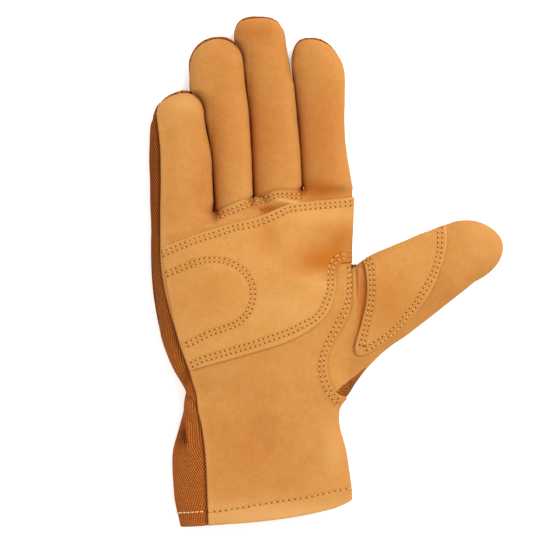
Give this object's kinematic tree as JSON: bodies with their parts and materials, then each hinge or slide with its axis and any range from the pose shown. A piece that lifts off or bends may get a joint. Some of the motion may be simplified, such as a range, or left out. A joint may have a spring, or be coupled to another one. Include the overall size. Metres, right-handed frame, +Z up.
{
  "type": "leather work glove",
  "caption": "Left-hand leather work glove lying palm up: tan leather palm, finger fronts and thumb, stitched palm and thumb patches, duck canvas back and an open hemmed cuff.",
  "frame": {"origin": "centre of the glove's outline, on the ground that its back lies on", "axes": "+Y from the cuff to the fingertips, +X to the thumb's side, +Z up out of the palm"},
  "size_m": [0.1835, 0.2657, 0.0265],
  "materials": {
    "leather": "matt, fine nubuck grain",
    "patch_leather": "matt, fine nubuck grain",
    "canvas": "matt plain-woven duck canvas"
  },
  "bodies": {
    "root": {"palm_leather": "leather", "ring_finger_front": "leather", "middle_finger_front": "leather", "thumb_front": "leather", "palm_patch": "patch_leather", "thumb_patch": "patch_leather", "back_canvas": "canvas", "thumb_back": "canvas"}
  },
  "joints": []
}
